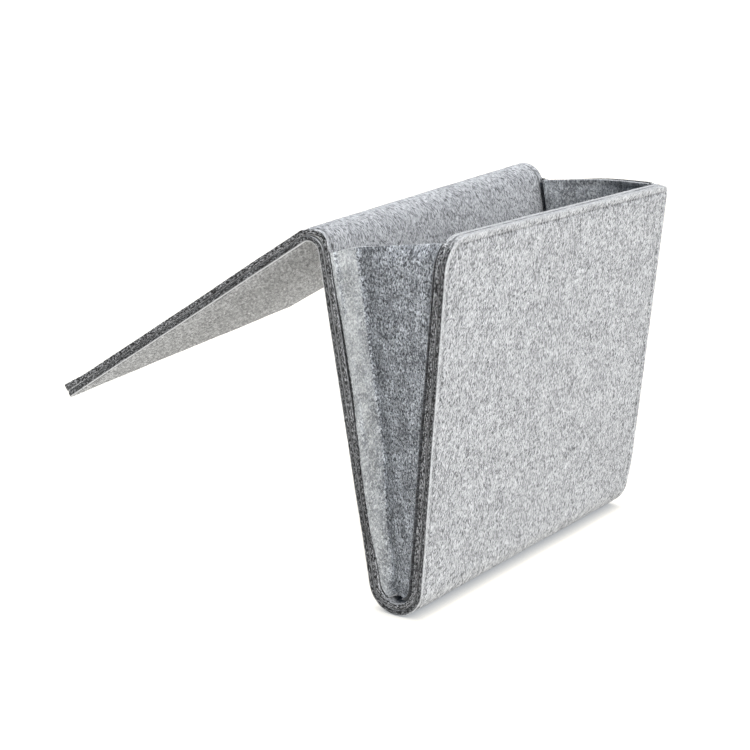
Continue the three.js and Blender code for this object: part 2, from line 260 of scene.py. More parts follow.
def cutBlank(columns, rows, low, high, squareRow=None, corners=None, endRow=0, inward=1):
    # a grid of size 1, whose corners go to the columns and rows
    bm = bmesh.new()
    bmesh.ops.create_grid(bm, x_segments=len(columns) - 1, y_segments=len(rows) - 1, size=0.5)
    for vert in bm.verts:
        column = round((vert.co.x + 0.5) * (len(columns) - 1))
        row = round((vert.co.y + 0.5) * (len(rows) - 1))
        vert.co = (columns[column], rows[row], low)
    if corners:
        roundEnd(bm, corners, endRow, inward)
    made = bmesh.ops.extrude_face_region(bm, geom=bm.faces[:])
    lifted = [item for item in made["geom"] if isinstance(item, bmesh.types.BMVert)]
    bmesh.ops.translate(bm, vec=(0, 0, high - low), verts=lifted)
    bm.normal_update()
    arrises = [edge for edge in bm.edges if isArris(edge, squareRow)]
    bmesh.ops.bevel(
        bm, geom=arrises, offset=felt["arris"], offset_type="OFFSET", segments=felt["arrisSteps"],
        profile=0.5, affect="EDGES", material=-1)
    half = (high - low) / 2
    tall = [edge for edge in bm.edges if abs(edge.verts[0].co.z - edge.verts[1].co.z) > half]
    bmesh.ops.subdivide_edges(bm, edges=tall, cuts=felt["rimCuts"], use_grid_fill=True)
    return bm


def placesOf(bm):
    return np.array([vert.co[:] for vert in bm.verts])


def putPlaces(bm, places):
    for vert, place in zip(bm.verts, places):
        vert.co = place


def roughness(places, size, seed):
    return np.array([noise.noise(Vector(place) / size + Vector((seed, seed, seed))) for place in places])


# Stiff felt isn't quite flat; both plies and their stitches share one gentle wave.
def feltWave(across, along):
    sheetPlaces = np.stack([across, along, np.zeros_like(across)], axis=-1)
    return felt["wave"] * roughness(sheetPlaces, felt["waveSize"], felt["waveSeed"])


# The cut edges of felt are a little ragged.
def fray(bm, cut):
    ragged = roughness(placesOf(bm), felt["fraySize"], felt["fraySeed"]) * cut * felt["fray"]
    for vert, amount in zip(bm.verts, ragged):
        vert.co += vert.normal * amount


def sideShare(bm):
    low, high = felt["sideFacing"]
    facing = np.array([abs(vert.normal.x) for vert in bm.verts])
    return np.clip((facing - low) / (high - low), 0, 1)


def saveObject(bm, name, values, material):
    # a bowed sheet may have come out with its faces turned inwards
    if bm.calc_volume(signed=True) < 0:
        bmesh.ops.reverse_faces(bm, faces=bm.faces[:])
    mesh = bpy.data.meshes.new(name)
    bm.to_mesh(mesh)
    bm.free()
    for key, value in values.items():
        if value.ndim == 2:
            mesh.attributes.new(key, "FLOAT_VECTOR", "POINT").data.foreach_set("vector", value.ravel())
        else:
            mesh.attributes.new(key, "FLOAT", "POINT").data.foreach_set("value", value)
    mesh.shade_smooth()
    mesh.set_sharp_from_angle(angle=math.radians(felt["sharpAngle"]))
    mesh.materials.append(material)
    piece = bpy.data.objects.new(name, mesh)
    scene.collection.objects.link(piece)
    print("made", name, len(mesh.polygons), "faces")
    return piece


# Shader nodes
def addNode(tree, kind, inputs=None, **options):
    node = tree.nodes.new(kind)
    for key, value in options.items():
        setattr(node, key, value)
    for key, value in (inputs or {}).items():
        if isinstance(value, bpy.types.NodeSocket):
            tree.links.new(value, node.inputs[key])
        else:
            node.inputs[key].default_value = value
    return node


def calc(tree, operation, first, second=0.0):
    return addNode(tree, "ShaderNodeMath", {0: first, 1: second}, operation=operation).outputs[0]


def times(tree, first, second):
    return calc(tree, "MULTIPLY", first, second)


def ramp(tree, value, low, high, toLow=0.0, toHigh=1.0):
    node = addNode(
        tree, "ShaderNodeMapRange",
        {"Value": value, "From Min": low, "From Max": high, "To Min": toLow, "To Max": toHigh},
        interpolation_type="SMOOTHSTEP")
    return node.outputs["Result"]


def mixColour(tree, share, first, second, blend="MIX"):
    node = addNode(tree, "ShaderNodeMix", data_type="RGBA", blend_type=blend)
    for key, value in ((0, share), (6, first), (7, second)):  # the node's sockets for colours
        if isinstance(value, bpy.types.NodeSocket):
            tree.links.new(value, node.inputs[key])
        else:
            node.inputs[key].default_value = value
    return node.outputs[2]


# Melange of light and dark fibres that lie in the plane of the felt
fibres = {
    "lightTurns": (4, -24, 30),
    "darkTurns": (-10, 16, 38),
    "lightFrom": (0.54, 0.66),
    "darkFrom": (0.548, 0.655),
    "cloudSize": (0.0095, 0.013, 0.0095),
    "fuzzSize": (0.0005, 0.0013, 0.0005),
    "speckSize": (0.0017, 0.0017, 0.00068),
    "clumpSize": (0.0011, 0.011, 0.0011),  # noise for the painted shading of raised fibres under the flap
    "softTurn": 15,
    "clumpTurn": -51,
    "detail": 2.0,
    "roughness": 0.6,
    "shift": 0.1,  # each layer of noise is taken from another place
    "shiftStep": 0.37,
}


def grainNoise(tree, place, grain, turn, shift):
    mapped = addNode(
        tree, "ShaderNodeMapping",
        {"Vector": place, "Location": (shift, shift, shift),
         "Rotation": (0, 0, math.radians(turn)), "Scale": grain},
        vector_type="TEXTURE")
    texture = addNode(
        tree, "ShaderNodeTexNoise",
        {"Vector": mapped.outputs[0], "Scale": 1.0,
         "Detail": fibres["detail"], "Roughness": fibres["roughness"]})
    return texture.outputs["Fac"]


def makeFibreGroup():
    group = bpy.data.node_groups.new("feltFibres", "ShaderNodeTree")
    group.interface.new_socket("Place", in_out="INPUT", socket_type="NodeSocketVector")
    group.interface.new_socket("Grain", in_out="INPUT", socket_type="NodeSocketVector")
    for name in ("Light", "Dark", "Cloud", "Fuzz", "Speck", "Clump"):
        group.interface.new_socket(name, in_out="OUTPUT", socket_type="NodeSocketFloat")
    start = group.nodes.new("NodeGroupInput")
    end = group.nodes.new("NodeGroupOutput")
    place = start.outputs["Place"]
    shift = fibres["shift"]
    for name in ("Light", "Dark"):
        most = None
        for turn in fibres[name.lower() + "Turns"]:
            shift += fibres["shiftStep"]
            flecks = grainNoise(group, place, start.outputs["Grain"], turn, shift)
            flecks = ramp(group, flecks, *fibres[name.lower() + "From"])
            most = flecks if most is None else calc(group, "MAXIMUM", most, flecks)
        group.links.new(most, end.inputs[name])
    for name in ("Cloud", "Fuzz", "Speck", "Clump"):
        shift += fibres["shiftStep"]
        turn = fibres["clumpTurn" if name == "Clump" else "softTurn"]
        layer = grainNoise(group, place, fibres[name.lower() + "Size"], turn, shift)
        group.links.new(layer, end.inputs[name])
    return group


# Painted shade in the needle holes: dark pricks where the needle went through
needle = {
    "across": 0.00080,
    "along": 0.00095,
    "rim": (0.3, 1.4),  # a prick fades out between these squares of its size
}


def makeNeedleGroup():
    group = bpy.data.node_groups.new("needleHoles", "ShaderNodeTree")
    group.interface.new_socket("Off", in_out="INPUT", socket_type="NodeSocketFloat")
    group.interface.new_socket("Run", in_out="INPUT", socket_type="NodeSocketFloat")
    group.interface.new_socket("Hole", in_out="OUTPUT", socket_type="NodeSocketFloat")
    start = group.nodes.new("NodeGroupInput")
    end = group.nodes.new("NodeGroupOutput")
    along = calc(group, "PINGPONG", start.outputs["Run"], stitching["pitch"] / 2)
    along = calc(group, "DIVIDE", along, needle["along"])
    across = calc(group, "DIVIDE", start.outputs["Off"], needle["across"])
    square = calc(group, "ADD", times(group, along, along), times(group, across, across))
    group.links.new(ramp(group, square, *needle["rim"], 1.0, 0.0), end.inputs["Hole"])
    return group


fibreGroup = makeFibreGroup()
needleGroup = makeNeedleGroup()

feltFinishes = {
    "paleFelt": {
        "base": (0.420, 0.428, 0.441, 1),
        "shade": (0.308, 0.314, 0.326, 1),
        "light": (0.66, 0.668, 0.682, 1),
        "dark": (0.055, 0.057, 0.060, 1),
        # cut edge colours: the cut felt's own darker tone, with painted shade where it faces sideways and
        # painted light where it faces up
        "sideCutWithShade": (0.080, 0.081, 0.084, 1),
        "topCutWithLight": (0.44, 0.443, 0.448, 1),
        "grain": (0.00060, 0.0024, 0.0009),
        "lightShare": 0.86,
        "darkShare": 0.97,
        "faceShare": 1.0,
        "paintedLightTint": (1, 1, 1, 1),
        "cloudTones": (1.03, 0.97),
        "bump": 0.80,
    },
    # the same felt as the strip, with a darker and bluer ground as painted shade
    "shadedGussetFelt": {
        "base": (0.365, 0.388, 0.423, 1),
        "shade": (0.199, 0.213, 0.237, 1),
        "light": (0.747, 0.781, 0.826, 1),
        "dark": (0.028, 0.030, 0.034, 1),
        "sideCutWithShade": (0.30, 0.305, 0.315, 1),
        "topCutWithLight": (0.48, 0.484, 0.490, 1),
        "grain": (0.0010, 0.0018, 0.0009),
        "lightShare": 0.97,
        "darkShare": 0.98,
        "faceShare": 0.44,  # the fleck is softer where the gusset faces forwards
        "paintedLightTint": (1.134, 1.10, 1.02, 1),
        "cloudTones": (1.17, 0.83),
        "bump": 1.0,
    },
}
# What both felts share. A range of four is (from, to, value at from, value at to).
feltLook = {
    "specular": 0.15,
    "sheen": 0.12,
    "sheenRoughness": 0.6,
    "cloudRange": (0.35, 0.65),
    "reliefShadeRange": (0.40, 0.60, 1.24, 0.72),
    "grooveShadeReach": 0.0017,  # painted shade in the groove along the stitches
    "edgeHighlightReach": 0.0026,  # painted highlight along the cut edge
    "plyTones": (0.80, 1.22),  # the outer ply's cut edge is darker than the inner ply's
    "streakRange": (0.42, 0.60, 0.05, 2.6),
    "fuzzRange": (0.39, 0.61, 0.3, 1.9),
    "speckRange": (0.35, 0.65, 0.7, 1.2),
    # painted shade in the split between the plies
    "splitReach": (0.0003, 0.0009),
    "splitRange": (0.3, 0.6, 0.2, 1.0),
    "splitShadeColour": (0.06, 0.06, 0.062, 1),
    "cutRange": (0.25, 0.85),
    "prickRange": (0.38, 0.58, 0.15, 1.0),
    "prickShadeColour": (0.05, 0.05, 0.052, 1),
    "seamGapShadeColour": (0.02, 0.02, 0.021, 1),
    "roughRange": (0.2, 0.8, 0.86, 1.0),
    "fleckHeight": 0.35,
    "bumpDistance": 0.0006,
}
untinted = (1, 1, 1, 1)
splitDepth = stripDepth / 2


def attribute(tree, name, output):
    return addNode(tree, "ShaderNodeAttribute", attribute_name=name).outputs[output]


def makeFelt(name, finish):
    material = bpy.data.materials.new(name)
    material.use_nodes = True
    tree = material.node_tree
    shader = tree.nodes["Principled BSDF"]
    shader.inputs["Specular IOR Level"].default_value = feltLook["specular"]
    shader.inputs["Sheen Weight"].default_value = feltLook["sheen"]
    shader.inputs["Sheen Roughness"].default_value = feltLook["sheenRoughness"]
    place = attribute(tree, "place", "Vector")
    side = attribute(tree, "side", "Fac")
    off = attribute(tree, "off", "Fac")
    run = attribute(tree, "run", "Fac")
    fleck = addNode(
        tree, "ShaderNodeGroup", {"Place": place, "Grain": finish["grain"]}, node_tree=fibreGroup)
    cloud = fleck.outputs["Cloud"]
    fuzz = fleck.outputs["Fuzz"]
    speck = fleck.outputs["Speck"]
    hole = addNode(tree, "ShaderNodeGroup", {"Off": off, "Run": run}, node_tree=needleGroup)

    # the face: light and dark fibres on a mottled ground
    strength = ramp(tree, side, 0.0, 1.0, finish["faceShare"], 1.0)
    lights = times(tree, fleck.outputs["Light"], times(tree, strength, finish["lightShare"]))
    darks = times(tree, fleck.outputs["Dark"], times(tree, strength, finish["darkShare"]))
    colour = mixColour(tree, ramp(tree, cloud, *feltLook["cloudRange"]), finish["base"], finish["shade"])
    colour = mixColour(tree, lights, colour, finish["light"])
    colour = mixColour(tree, darks, colour, finish["dark"])
    mottle = ramp(tree, cloud, *feltLook["cloudRange"], *finish["cloudTones"])
    # painted light: a warm tint where the gusset faces forwards, towards the light
    mottle = mixColour(tree, side, finish["paintedLightTint"], mottle)
    # painted light and shade from the shading attribute
    mottle = mixColour(tree, 1.0, mottle, attribute(tree, "paintedShading", "Fac"), "MULTIPLY")
    # painted shading of raised fibres on the flap's underside
    reliefShading = ramp(tree, fleck.outputs["Clump"], *feltLook["reliefShadeRange"])
    reliefShading = mixColour(tree, attribute(tree, "clump", "Fac"), untinted, reliefShading)
    colour = mixColour(tree, 1.0, colour, mottle, "MULTIPLY")
    colour = mixColour(tree, 1.0, colour, reliefShading, "MULTIPLY")

    # painted highlight on the edge outside the stitches, and painted shade in the groove along them
    highlightFrom = -stitching["margin"]
    paintedEdgeHighlight = ramp(tree, off, highlightFrom, highlightFrom + feltLook["edgeHighlightReach"], 1.0, 0.0)
    paintedEdgeHighlight = times(tree, paintedEdgeHighlight, attribute(tree, "edgeHighlight", "Fac"))
    # painted shade in the groove along the stitch row
    row = ramp(tree, calc(tree, "ABSOLUTE", off), 0.0, feltLook["grooveShadeReach"], 1.0, 0.0)
    row = times(tree, row, attribute(tree, "drawn", "Fac"))
    colour = mixColour(tree, paintedEdgeHighlight, colour, finish["light"])
    colour = mixColour(tree, row, colour, finish["dark"])

    # the cut edges, with painted light and shade by which way they face, and painted shade in the split
    # between the plies
    depth = addNode(tree, "ShaderNodeSeparateXYZ", {"Vector": place}).outputs["Z"]
    near, far = feltLook["splitReach"]
    plies = ramp(tree, depth, splitDepth - near, splitDepth + near, *feltLook["plyTones"])
    streaks = times(tree, ramp(tree, speck, *feltLook["streakRange"]), plies)
    streaks = times(tree, streaks, ramp(tree, fuzz, *feltLook["fuzzRange"]))
    speckled = mixColour(tree, side, ramp(tree, speck, *feltLook["speckRange"]), streaks)
    # painted light and shade: cut edges are paler where they face up and darker where they face sideways
    cutColour = mixColour(tree, side, finish["topCutWithLight"], finish["sideCutWithShade"])
    cutColour = mixColour(tree, 1.0, cutColour, speckled, "MULTIPLY")
    # painted shade in the split between the plies, uneven along the edge
    fromSplit = calc(tree, "ABSOLUTE", calc(tree, "SUBTRACT", depth, splitDepth))
    uneven = ramp(tree, cloud, *feltLook["splitRange"])
    splitShade = times(tree, ramp(tree, fromSplit, near, far, 1.0, 0.0), uneven)
    cutColour = mixColour(tree, splitShade, cutColour, feltLook["splitShadeColour"])
    cut = ramp(tree, attribute(tree, "cut", "Fac"), *feltLook["cutRange"])
    colour = mixColour(tree, cut, colour, cutColour)

    # painted shade in the needle pricks and in the gaps of the seams
    pricked = times(tree, hole.outputs["Hole"], attribute(tree, "prickShade", "Fac"))
    pricked = times(tree, pricked, ramp(tree, cloud, *feltLook["prickRange"]))
    colour = mixColour(tree, pricked, colour, feltLook["prickShadeColour"])
    colour = mixColour(tree, attribute(tree, "seamGapShade", "Fac"), colour, feltLook["seamGapShadeColour"])
    tree.links.new(colour, shader.inputs["Base Color"])
    tree.links.new(ramp(tree, fuzz, *feltLook["roughRange"]), shader.inputs["Roughness"])
    height = calc(tree, "ADD", fuzz, times(tree, fleck.outputs["Light"], feltLook["fleckHeight"]))
    height = calc(tree, "SUBTRACT", height, pricked)
    bump = addNode(
        tree, "ShaderNodeBump",
        {"Height": height, "Strength": finish["bump"], "Distance": feltLook["bumpDistance"]})
    tree.links.new(bump.outputs["Normal"], shader.inputs["Normal"])
    return material


feltMaterials = {name: makeFelt(name, finish) for name, finish in feltFinishes.items()}

threadFinish = {
    "base": (0.28, 0.284, 0.292, 1),
    "dark": (0.17, 0.173, 0.179, 1),
    "twistAlong": 5200.0,
    "twistAcross": 2800.0,
    "specular": 0.3,
    "roughness": (0.75, 0.6),
    "bump": 0.4,
    "bumpDistance": 0.0001,
}


def makeThread(finish):
    material = bpy.data.materials.new("sewingThread")
    material.use_nodes = True
    tree = material.node_tree
    shader = tree.nodes["Principled BSDF"]
    shader.inputs["Specular IOR Level"].default_value = finish["specular"]
    place = addNode(tree, "ShaderNodeSeparateXYZ", {"Vector": attribute(tree, "place", "Vector")})
    lengthwise = times(tree, place.outputs["Z"], finish["twistAlong"])
    crosswise = times(tree, place.outputs["X"], finish["twistAcross"])
    strands = calc(tree, "SINE", calc(tree, "ADD", lengthwise, crosswise))
    colour = mixColour(tree, ramp(tree, strands, -1, 1), finish["dark"], finish["base"])
    tree.links.new(colour, shader.inputs["Base Color"])
    tree.links.new(ramp(tree, strands, -1, 1, *finish["roughness"]), shader.inputs["Roughness"])
    bump = addNode(
        tree, "ShaderNodeBump",
        {"Height": strands, "Strength": finish["bump"], "Distance": finish["bumpDistance"]})
    tree.links.new(bump.outputs["Normal"], shader.inputs["Normal"])
    return material


threadMaterial = makeThread(threadFinish)
print("finishes made")

# Each ply is made in two lengths that meet square on the back, so that each length bends at one fold.
columns = edgedLines(-halfWidth, halfWidth, felt["step"], True, True)
ends = {
    "front": {
        "rows": np.concatenate([
            edgedLines(0, frontFoot, felt["step"], True, False)[:-1],
            evenLines(frontFoot, backFoot, felt["foldStep"])[:-1],
            evenLines(backFoot, joinRow, felt["step"])]),
        "endRow": 0.0,
        "inward": 1,
        "corners": strip["frontCorners"],
        "prickShades": (0.90, 0.35),  # how dark the painted shade in the needle holes is along the end and along the sides
        "drawn": (0.12, 0.12),
        "edgeHighlight": (0.25, 0.25),  # outer ply, inner ply
        "lip": (0.85, 0.0),  # painted highlight on the arris of the shown face
    },
    "flap": {
        "rows": np.concatenate([
            evenLines(joinRow, backHead, felt["step"])[:-1],
            evenLines(backHead, flapFoot, felt["foldStep"])[:-1],
            edgedLines(flapFoot, flapEnd, felt["step"], False, True)]),
        "endRow": flapEnd,
        "inward": -1,
        "corners": strip["flapCorners"],
        "prickShades": (0.90, 0.85),
        "drawn": (0.40, 0.60),
        "edgeHighlight": (0.90, 0.25),
        "lip": (0.95, 0.0),
    },
}
rimBand = 4 * stitching["margin"]


# Where a face of the strip has stitches
def everywhere(across, along, corner):
    return np.full(np.shape(across), True)


def onRim(across, along, corner):
    return (np.abs(across) < halfWidth - rowCorner(corner)) & (along < rimBand)


def onFlap(across, along, corner):
    return along > backHead


def layPly(name, end, low, outward, sewnWhere, material):
    # outward is -1 where the low side of the ply shows, 1 where the high side does
    settings = ends[end]
    high = low + strip["ply"]
    bm = cutBlank(columns, settings["rows"], low, high, joinRow,
                  settings["corners"], settings["endRow"], settings["inward"])
    flat = placesOf(bm)
    across, along, depth = flat.T.copy()
    fromEnd = np.abs(along - settings["endRow"])
    corner = cornerAt(settings["corners"], across)
    inset = edgeInset(across, fromEnd, corner)
    cut = np.clip(1 - inset / felt["arris"], 0, 1)
    sewn = sewnWhere(across, along, corner)
    off = np.where(sewn, inset - stitching["margin"], stitching["unsewn"])
    run = rowRun(across, fromEnd, corner)
    onEnd = fromEnd < np.maximum(corner, 2 * stitching["margin"])
    middle = (low + high) / 2
    shown = np.clip(outward * (depth - middle) / (strip["ply"] / 2), 0, 1)
    ply = 0 if outward < 0 else 1
    fromFace = np.abs(depth - (low, high)[ply]) / felt["arris"]
    onSide = np.abs(across) > halfWidth - corner
    # painted highlight on the rounded arris of the shown face, along the sides
    lip = onSide * settings["lip"][ply] * np.clip(felt["highlightReach"] - fromFace, 0, 1)
    # the seam draws the felt down, and the margin rises from it to the edge
    outside = np.clip(1 + off / stitching["margin"], 0, 1)
    inside = np.exp(-(off / stitching["innerReach"]) ** 2)
    sink = stitching["marginSink"] * np.where(off < 0, outside, inside)
    sink += stitching["groove"] * np.exp(-(off / stitching["grooveWidth"]) ** 2)
    pebble = felt["pebble"] * roughness(flat, felt["pebbleSize"], felt["pebbleSeed"])
    flat[:, 2] = depth + feltWave(across, along) + outward * shown * (pebble - sink)
    putPlaces(bm, foldStrip(flat))
    bmesh.ops.recalc_face_normals(bm, faces=bm.faces[:])
    bm.normal_update()
    side = sideShare(bm)
    fray(bm, cut)
    values = {
        "place": np.stack([across, along, depth], axis=-1),
        "cut": cut * (1 - lip),
        "side": side,
        "off": off,
        "run": run,
        "prickShade": np.where(onEnd, *settings["prickShades"]),
        "drawn": np.where(onEnd, *settings["drawn"]),
        "edgeHighlight": np.maximum(settings["edgeHighlight"][ply], cut * lip),
        # painted light on the flap, growing over the top fold
        "paintedShading": 1 + strip["flapPaintedLight"] * np.clip((along - backHead) / (flapFoot - backHead), 0, 1),
        "seamGapShade": np.zeros_like(cut),
        "clump": ((along > flapFoot) & (outward < 0)).astype(float),
    }
    return saveObject(bm, name, values, material)


# Where the felt bends at a pose, measured from each fold's joint: the top bend spreads into the flap, and
# leaves the back straight where the gussets are sewn to it. Here each piece is only baked in place.
topBends = {"heading": (0, -0.640, -0.768), "outer": (-0.0115, 0.0067), "inner": (-0.015, 0.0083)}


def bendTop(piece, start, end):
    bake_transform(piece)


def bendBottom(piece):
    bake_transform(piece)


outerUpper = layPly("outer_felt_upper", "flap", 0.0, -1, everywhere, feltMaterials["paleFelt"])
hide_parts("flap_under_ply", "top_fold_under_ply")
bendTop(outerUpper, *topBends["outer"])

innerUpper = layPly("inner_felt_upper", "flap", innerPlyStart, 1, onFlap, feltMaterials["paleFelt"])
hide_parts("flap_upper_ply", "top_fold_upper_ply")
bendTop(innerUpper, *topBends["inner"])

outerLower = layPly("outer_felt_lower", "front", 0.0, -1, everywhere, feltMaterials["paleFelt"])
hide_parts("back_outer_ply", "bottom_fold_outer_ply", "front_outer_ply")
bendBottom(outerLower)

innerLower = layPly("inner_felt_lower", "front", innerPlyStart, 1, onRim, feltMaterials["paleFelt"])
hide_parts("back_inner_ply", "bottom_fold_inner_ply", "front_inner_ply")
bendBottom(innerLower)

# Gussets: the section runs from the flange on the back, round a soft bend and along a bowed wall, to the
# front's flange. Its points are counted from the nearer flange's edge.
gusset = {
    "thickness": 0.003,
    "edgeShare": 0.22,  # the flanges are pressed thin towards their edges
    "seamPoint": 2,
    "seamReach": 2.2,  # in points: so far the felt lies in the seam
    "wallPoint": 4,
    "wallShares": (0.0, 0.25, 0.5, 0.75, 1.0),  # the points of the wall itself
    "seat": 0.0003,
    "press": 0.0003,  # the seam presses the flange into the strip
    "flange": 0.0046,
    "leastFlange": 0.0008,
    "lipShare": 0.35,  # how much the middle of a flange follows its edge
    "creaseStart": 0.10,
    "creaseTurn": (0.58, 0.42),
    "frontTurn": (0.68, 0.32),
    "roomShare": 0.30,
    "bowFade": 0.8,
    "bowRound": 1.3,
    "crownFade": 4,
    "footTurn": 45.0,
    "footLift": 0.0012,
    "footFade": 0.035,
    "wave": 0.00045,
    "waveSize": 0.025,
    "waveSeed": 2.2,
    "waveEase": 0.012,
    "pebbleSeed": 5.9,
    "flatWidth": 0.075,
    "flatLength": 0.195,
    "flatArea": 0.0112,
    "columns": 72,
    "step": 0.0022,
    "probe": 0.001,  # short steps that tell how the felt is turned: a length, and a share of the blank
    "nudge": 0.002,
}
sectionSpans = 2 * gusset["wallPoint"] + len(gusset["wallShares"]) - 1

# The felt is pushed to the right: the left gusset is creased inwards near the back, the right one bows out.
# creaseIn and creaseOut tell where the wall starts, inwards from the flange and off the back. gape is how
# far the flange's bend stands off the back. The lists hold (level, value) pairs, from the foot to the rim.
gussetSides = {
    "left": {
        "sign": -1,
        "paintedShading": ((0, 0.94), (0.5, 0.91), (1, 0.82)),  # painted shade: darker where it faces sideways, most near the rim
        "fleck": 1.0,
        "rimDropBack": 0.0005,
        "rimDropFront": 0.0045,
        "crown": 0.0,
        "creaseIn": ((0, 0.0025), (0.15, 0.0048), (0.50, 0.0100), (1, 0.0120)),
        "creaseOut": ((0, 0.0020), (0.15, 0.0030), (0.50, 0.0058), (1, 0.0066)),
        "bow": 0.0,
        "backEdge": (
            (0, 0.0008), (0.08, 0.0004), (0.22, -0.0018), (0.36, -0.0014), (0.52, -0.0004), (1, 0.0002)),
        "backGap": (
            (0, 0.0006), (0.30, 0.0004), (0.50, 0.0008), (0.62, 0.0020), (0.78, 0.0018), (0.90, 0.0007),
            (1, 0.0004)),
        "gape": ((0, 0.0), (1, 0.0)),
        "frontEdge": 0.0002,
        "frontGap": ((0, 0.0017), (0.45, 0.0017), (1, 0.0010)),
        "seams": (0.90, 0.82),  # how dark the painted shade in the seams is, at the back and at the front
        "frontFlange": 0.0022,
        "frontBend": 0.0012,
    },
    "right": {
        "sign": 1,
        # painted shade where the gusset faces sideways
        "paintedShading": ((0, 0.82), (1, 0.82)),
        "fleck": 0.4,
        "rimDropBack": -0.0017,
        "rimDropFront": -0.0006,
        "crown": -0.0003,
        "creaseIn": ((0, 0.0010), (1, 0.0010)),
        "creaseOut": ((0, 0.0010), (1, 0.0010)),
        "bow": 0.0106,
        "backEdge": ((0, 0.0008), (1, 0.0008)),
        "backGap": ((0, 0.0), (1, 0.0)),
        "gape": ((0, 0.0), (0.60, 0.0006), (0.80, 0.0017), (1, 0.0032)),
        "frontEdge": 0.0008,
        "frontGap": ((0, 0.0005), (1, 0.0005)),
        "seams": (0.95, 0.0),
        "frontFlange": 0.0026,
        "frontBend": 0.0016,
    },
}
footReach = (strip["bottomRadius"] - stripDepth / 2) * math.radians(gusset["footTurn"])


def stripPoint(inset, row, sign, depth):
    across = sign * (halfWidth - inset)
    return foldStrip(np.stack([across, row, depth + feltWave(across, row)], axis=-1))


def easeInOut(share):
    return share * share * (3 - 2 * share)


def smoothCurve(points, where):
    # a smooth curve through all the points of each row; where counts from the first point
    last = points.shape[1] - 1
    index = np.clip(np.floor(where).astype(int), 0, last - 1)
    share = (where - index)[:, None]
    each = np.arange(len(points))
    before = points[each, np.maximum(index - 1, 0)]
    first = points[each, index]
    second = points[each, index + 1]
    after = points[each, np.minimum(index + 2, last)]
    square = share ** 2
    cube = share ** 3
    return (first + 0.5 * share * (second - before)
            + square * (before - 2.5 * first + 2 * second - 0.5 * after)
            + cube * 0.5 * (after - before + 3 * (first - second)))


def byLevel(level, pairs):
    levels, values = (np.array(part) for part in zip(*pairs))
    index = np.clip(np.searchsorted(levels, level, side="right") - 1, 0, len(levels) - 2)
    share = np.clip((level - levels[index]) / (levels[index + 1] - levels[index]), 0, 1)
    return values[index] + easeInOut(share) * (values[index + 1] - values[index])


def gussetRows(level, side):
    backRow = backFoot - footReach + level * (backHead - side["rimDropBack"] - backFoot + footReach)
    frontRow = frontFoot + footReach + level * (side["rimDropFront"] - frontFoot - footReach)
    return backRow, frontRow


def gussetSection(level, side):
    # control points of the section at each level: inset from the strip's edge, and distance from the back
    zero = np.zeros_like(level)
    deep = np.full_like(level, stripDepth)
    backRow, frontRow = gussetRows(level, side)
    backPoint = stripPoint(zero, backRow, side["sign"], deep)
    frontPoint = stripPoint(zero, frontRow, side["sign"], deep)
    span = np.linalg.norm(frontPoint - backPoint, axis=1)
    heading = (frontPoint - backPoint) / span[:, None]
    probe = gusset["probe"]
    backIn = stripPoint(zero, backRow, side["sign"], deep + probe) - backPoint
    frontIn = stripPoint(zero, frontRow, side["sign"], deep + probe) - frontPoint
    backSlant = probe / np.maximum(np.sum(backIn * heading, axis=1), probe / 2)
    frontSlant = probe / np.maximum(np.sum(-frontIn * heading, axis=1), probe / 2)
    half = gusset["thickness"] / 2
    seat = gusset["seat"] + half
    edgeHalf = half * gusset["edgeShare"]
    seamHalf = half * flangeThickness(gusset["seamPoint"]) - gusset["press"]
    backSeat = seat * backSlant + byLevel(level, side["gape"])
    backLip = (byLevel(level, side["backGap"]) + edgeHalf) * backSlant
    farSeat = span - seat * frontSlant
    frontLip = span - (byLevel(level, side["frontGap"]) + edgeHalf) * frontSlant
    frontSeam = span - seamHalf * frontSlant
    room = farSeat - backSeat
    creaseIn = byLevel(level, side["creaseIn"])
    creaseOut = np.minimum(byLevel(level, side["creaseOut"]), gusset["roomShare"] * room)
    frontBend = np.minimum(side["frontBend"], gusset["roomShare"] * room)
    corner = cornerAt(strip["frontCorners"], side["sign"])
    cornerCut = corner - np.sqrt(corner ** 2 - np.clip(corner - frontRow, 0, corner) ** 2)
    frontEdge = np.maximum(side["frontEdge"], cornerCut + gusset["leastFlange"])
    frontFlange = np.maximum(side["frontFlange"], frontEdge + gusset["leastFlange"])
    backEdge = byLevel(level, side["backEdge"])
    backFlange = gusset["flange"] + zero
    bow = side["bow"] * np.clip(level, 0, 1) ** gusset["bowFade"]
    wallStart = backSeat + creaseOut
    wallEnd = farSeat - frontBend
    backWall = backFlange + creaseIn
    frontWall = frontFlange + frontBend

    def wall(share):
        bulge = bow * math.sin(math.pi * share) ** gusset["bowRound"]
        inset = backWall + share * (frontWall - backWall) - bulge
        return inset, wallStart + share * (wallEnd - wallStart)

    lip = gusset["lipShare"]
    creaseTurn = gusset["creaseTurn"]
    frontTurn = gusset["frontTurn"]
    points = [
        (backEdge, backLip),
        ((backEdge + backFlange) / 2, lip * backLip + (1 - lip) * backSeat),
        (backFlange, backSeat + gusset["creaseStart"] * creaseOut),
        (backFlange + creaseTurn[0] * creaseIn, backSeat + creaseTurn[1] * creaseOut),
        *[wall(share) for share in gusset["wallShares"]],
        (frontFlange + frontTurn[0] * frontBend, farSeat - frontTurn[1] * frontBend),
        (frontFlange, frontSeam),
        ((frontEdge + frontFlange) / 2, lip * frontLip + (1 - lip) * frontSeam),
        (frontEdge, frontLip),
    ]
    section = np.stack([np.stack(point, axis=-1) for point in points], axis=1)
    return section, backRow, frontRow, span


